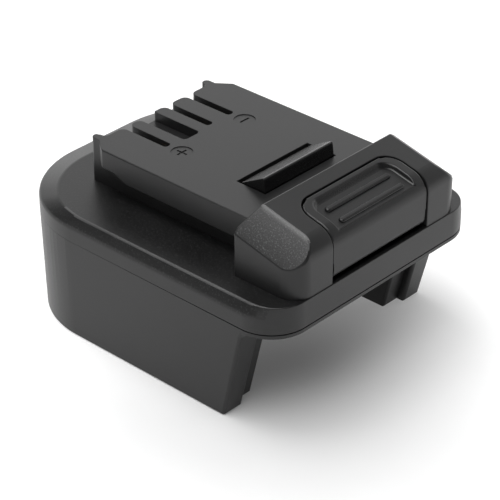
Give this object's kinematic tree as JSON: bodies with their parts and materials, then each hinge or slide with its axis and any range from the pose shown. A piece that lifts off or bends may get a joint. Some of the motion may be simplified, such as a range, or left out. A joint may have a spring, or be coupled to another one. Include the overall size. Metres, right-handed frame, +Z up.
{
  "type": "tool battery adapter",
  "caption": "Slide-on adapter with a railed contact deck, spring latch and thumb release on top and a channel for a battery pack between two skirt legs below.",
  "frame": {"origin": "centre of the overall box at the feet of the skirt", "axes": "+X towards the release button and the open end of the battery channel, +Y across the width, +Z up from the feet to the contact deck"},
  "size_m": [0.1006, 0.08, 0.0553],
  "materials": {
    "shell_plastic": "fine satin grain",
    "skirt_plastic": "smooth satin",
    "latch_plastic": "smooth satin",
    "block_plastic": "satin",
    "spring_steel": "bright drawn wire",
    "clip_metal": "plain sheet",
    "blade_metal": "tin plated",
    "board": "solder resist",
    "chip": "ceramic",
    "lead_red": "silicone",
    "lead_black": "silicone",
    "lead_yellow": "silicone",
    "screw_steel": "zinc plated"
  },
  "bodies": {
    "adapter_body": {"upper_shell": "shell_plastic", "lower_shell": "skirt_plastic", "latch_spring_left": "spring_steel", "latch_spring_right": "spring_steel", "tool_clip_positive": "clip_metal", "tool_clip_signal": "clip_metal", "tool_clip_negative": "clip_metal", "circuit_board": "board", "board_resistors": "chip", "blade_block": "block_plastic", "battery_blade_positive": "blade_metal", "battery_blade_signal": "blade_metal", "battery_blade_negative": "blade_metal", "positive_lead": "lead_red", "signal_lead": "lead_yellow", "negative_lead": "lead_black", "shell_screws": "screw_steel", "board_screws": "screw_steel", "block_screws": "screw_steel"},
    "latch": {"release_latch": "latch_plastic"}
  },
  "joints": [
    {"name": "latch_press", "type": "slide", "parent": "adapter_body", "child": "latch", "axis": [-0.2588, 0, -0.9659], "range_m": [0, 0.004], "stiffness_N_per_m": 1600, "springref_m": -0.004, "deforming": ["latch_spring_left", "latch_spring_right"]}
  ]
}
